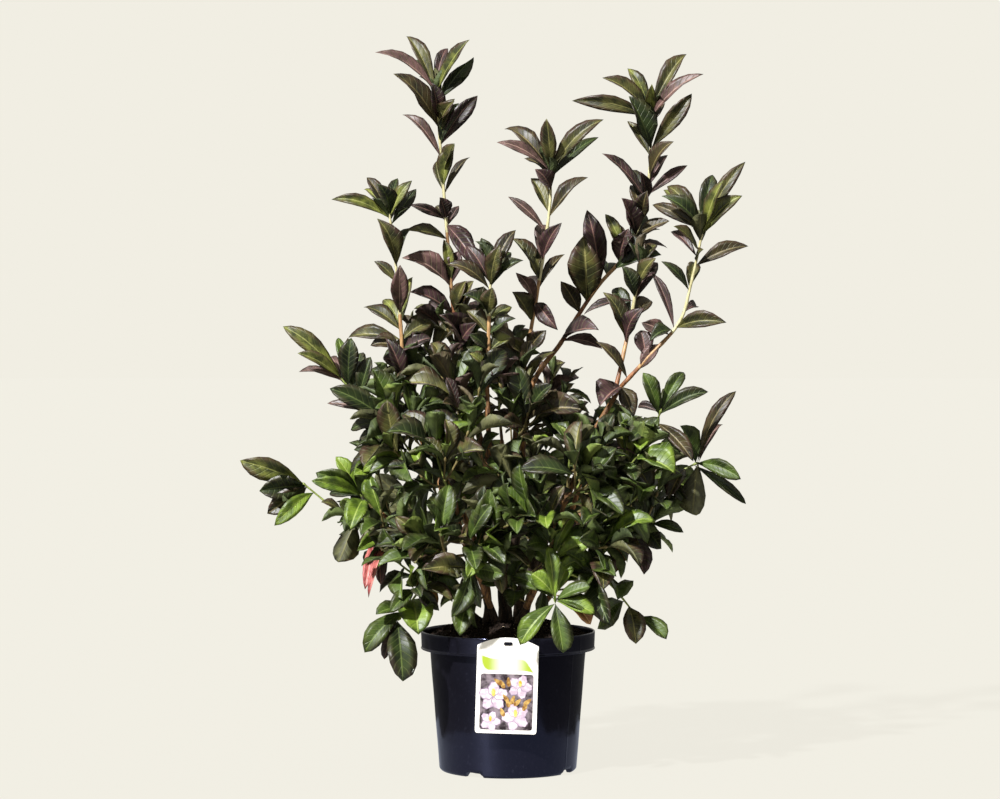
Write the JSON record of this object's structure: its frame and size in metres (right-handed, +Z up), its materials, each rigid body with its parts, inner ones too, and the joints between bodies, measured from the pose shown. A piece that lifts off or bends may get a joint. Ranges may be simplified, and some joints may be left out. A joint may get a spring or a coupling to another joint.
{
  "type": "deciduous azalea shrub in a nursery pot",
  "caption": "Young many-stemmed flowering shrub out of bloom, with tall leafy shoots over a dense bush of leaf sprays, in a round black nursery pot with a hanging plant label.",
  "frame": {"origin": "middle of the pot's flat underside, where it stands", "axes": "+Z up along the pot's axis, -Y towards the front with the label, +X to the right seen from the front"},
  "size_m": [0.674, 0.4672, 0.9594],
  "materials": {
    "pot_plastic": "glossy black blown plastic",
    "potting_soil": "damp crumbly peat",
    "label_plastic": "printed white card-like plastic",
    "old_bark": "dark rough bark",
    "young_bark": "smooth brown bark",
    "bronze_leaf": "satin bronze-green leaf",
    "green_leaf": "glossy green leaf"
  },
  "bodies": {
    "root": {"pot": "pot_plastic", "soil": "potting_soil", "plant_label": "label_plastic", "trunk": "old_bark", "leader_left": "young_bark", "leader_front": "young_bark", "leader_mid": "young_bark", "leader_right": "young_bark", "bough_right": "young_bark", "bough_far_right": "young_bark", "stem_left": "young_bark", "stem_low_left": "young_bark", "stem_low_right": "young_bark", "stem_back_left": "young_bark", "stem_back_right": "young_bark", "stem_back": "young_bark", "stem_front_left": "young_bark", "stem_front_right": "young_bark", "shoot_left": "bronze_leaf", "shoot_tallest": "bronze_leaf", "shoot_short": "bronze_leaf", "shoot_middle": "bronze_leaf", "shoot_bronze": "bronze_leaf", "shoot_right": "bronze_leaf", "shoot_right_low": "bronze_leaf", "spray_left_high": "green_leaf", "spray_left_mid": "green_leaf", "spray_left_out": "green_leaf", "spray_left_far": "green_leaf", "spray_left_low": "green_leaf", "spray_left_foot": "green_leaf", "spray_left_hang": "green_leaf", "spray_left_back": "green_leaf", "spray_right_high": "green_leaf", "spray_right_out": "green_leaf", "spray_right_mid": "green_leaf", "spray_right_back": "green_leaf", "spray_right_low": "green_leaf", "spray_right_foot": "green_leaf", "spray_right_hang": "green_leaf", "spray_front_hang": "green_leaf", "spray_front_right": "green_leaf", "spray_front_mid": "green_leaf", "spray_front_left": "green_leaf", "spray_front_low": "green_leaf", "spray_front_side": "green_leaf", "spray_front_out": "green_leaf", "spray_mid_left": "green_leaf", "spray_mid_right": "green_leaf", "spray_high_left": "green_leaf", "spray_high_mid": "green_leaf", "spray_high_right": "green_leaf", "spray_high_back": "green_leaf", "spray_back_top": "green_leaf", "spray_back_left": "green_leaf", "spray_back_right": "green_leaf", "spray_back_mid": "green_leaf", "spray_back_low": "green_leaf", "spray_back_side": "green_leaf"}
  },
  "joints": []
}
